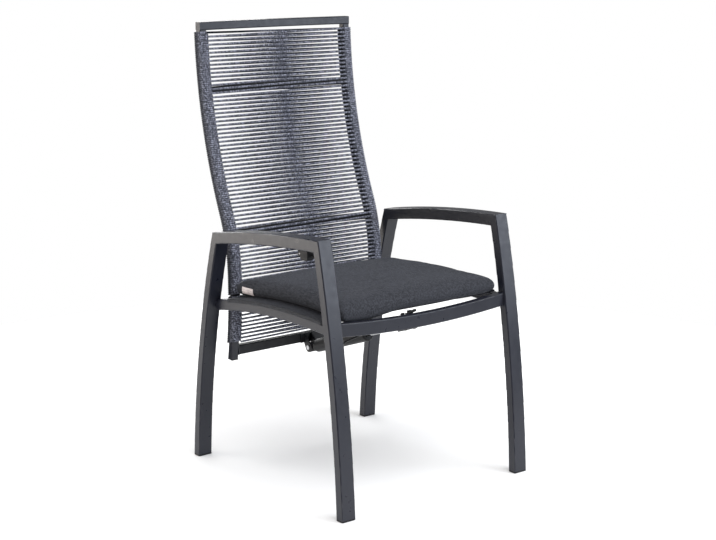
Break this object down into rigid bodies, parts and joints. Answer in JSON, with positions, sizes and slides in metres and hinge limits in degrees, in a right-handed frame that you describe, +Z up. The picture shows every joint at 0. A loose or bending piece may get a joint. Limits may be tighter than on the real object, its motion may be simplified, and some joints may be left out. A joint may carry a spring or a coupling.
{
  "type": "reclining garden armchair",
  "caption": "Garden armchair with bent tube side frames, a rope-wound back that reclines on a gas spring, and a loose cushion on a sling seat.",
  "frame": {"origin": "on the floor, under the middle of the whole chair's bounding box", "axes": "+Z up, the chair faces -Y, +X is the sitter's left"},
  "size_m": [0.6, 0.6982, 1.133],
  "materials": {
    "frame_coating": "satin anthracite powder coating",
    "bracket_coating": "black powder coating",
    "cylinder_paint": "glossy black paint",
    "rod_chrome": "polished",
    "zinc_steel": "zinc plated",
    "black_plastic": "fine grain",
    "bush_plastic": "smooth",
    "cable_sheath": "smooth",
    "rope": "round woven rope",
    "sling_mesh": "coated mesh",
    "cushion_fabric": "plain woven, two tones",
    "tag_fabric": "plain"
  },
  "bodies": {
    "frame": {"front_leg_left": "frame_coating", "front_leg_right": "frame_coating", "rear_leg_left": "frame_coating", "rear_leg_right": "frame_coating", "armrest_left": "frame_coating", "armrest_right": "frame_coating", "seat_side_rail_left": "frame_coating", "seat_side_rail_right": "frame_coating", "seat_front_rail": "frame_coating", "seat_cross_tube": "frame_coating", "seat_rail_bosses": "frame_coating", "seat_frame_bolts": "zinc_steel", "seat_sling": "sling_mesh", "seat_cushion": "cushion_fabric", "cushion_label": "tag_fabric", "spring_front_bracket": "bracket_coating", "spring_front_pin": "zinc_steel", "release_housing": "black_plastic", "release_lever_pin": "zinc_steel", "release_cable": "cable_sheath", "release_cable_clips": "black_plastic", "foot_glide_front_left": "black_plastic", "foot_glide_front_right": "black_plastic", "foot_glide_rear_left": "black_plastic", "foot_glide_rear_right": "black_plastic", "pivot_bolt_left": "zinc_steel", "pivot_bolt_right": "zinc_steel"},
    "back": {"back_tube_left": "frame_coating", "back_tube_right": "frame_coating", "back_top_rail": "frame_coating", "back_upper_bar": "frame_coating", "back_lower_bar": "frame_coating", "back_bottom_rail": "frame_coating", "back_rope": "rope", "spring_back_bracket": "bracket_coating", "spring_back_pin": "zinc_steel", "back_tube_plug_left": "black_plastic", "back_tube_plug_right": "black_plastic", "pivot_bush_left": "bush_plastic", "pivot_bush_right": "bush_plastic"},
    "spring_rod": {"gas_spring_rod": "rod_chrome", "release_head": "bracket_coating", "release_crank_pin": "zinc_steel", "release_cable_ferrule": "zinc_steel"},
    "spring_cylinder": {"gas_spring_cylinder": "cylinder_paint", "gas_spring_gland": "black_plastic", "gas_spring_eye": "zinc_steel"},
    "crank": {"release_crank": "zinc_steel"},
    "valve_pin": {"valve_pin": "zinc_steel"},
    "wire": {"release_wire": "zinc_steel"},
    "lever": {"release_lever": "black_plastic"}
  },
  "joints": [
    {"name": "back_recline", "type": "hinge", "parent": "frame", "child": "back", "pos_m": [0, 0.18824, 0.43], "axis": [-1, 0, 0], "range_deg": [0, 24]},
    {"name": "spring_swing", "type": "hinge", "parent": "frame", "child": "spring_rod", "pos_m": [0, -0.23326, 0.412], "axis": [-1, 0, 0], "range_deg": [0, 0.36]},
    {"name": "spring_stroke", "type": "slide", "parent": "spring_rod", "child": "spring_cylinder", "axis": [0, -0.9441, 0.3296], "range_m": [0, 0.0665]},
    {"name": "lever_squeeze", "type": "hinge", "parent": "frame", "child": "lever", "pos_m": [-0.28, -0.17576, 0.618], "axis": [-1, 0, 0], "range_deg": [0, 8]},
    {"name": "crank_turn", "type": "hinge", "parent": "spring_rod", "child": "crank", "pos_m": [0, -0.21128, 0.42339], "axis": [1, 0, 0], "range_deg": [0, 8.1]},
    {"name": "valve_press", "type": "slide", "parent": "spring_rod", "child": "valve_pin", "axis": [0, 0.9441, -0.3296], "range_m": [0, 0.0027], "stiffness_N_per_m": 20, "springref_m": -0.004},
    {"name": "wire_pull", "type": "slide", "parent": "spring_rod", "child": "wire", "axis": [0, -0.9441, 0.3296], "range_m": [0, 0.0016]}
  ],
  "couplings": [
    {"joint": "spring_swing", "follows": "back_recline", "ratio": 0.0144},
    {"joint": "spring_stroke", "follows": "back_recline", "m_per_rad": 0.1582},
    {"joint": "crank_turn", "follows": "valve_press", "rad_per_m": 51.3},
    {"joint": "lever_squeeze", "follows": "valve_press", "rad_per_m": 51.3},
    {"joint": "wire_pull", "follows": "valve_press", "ratio": 0.564}
  ]
}
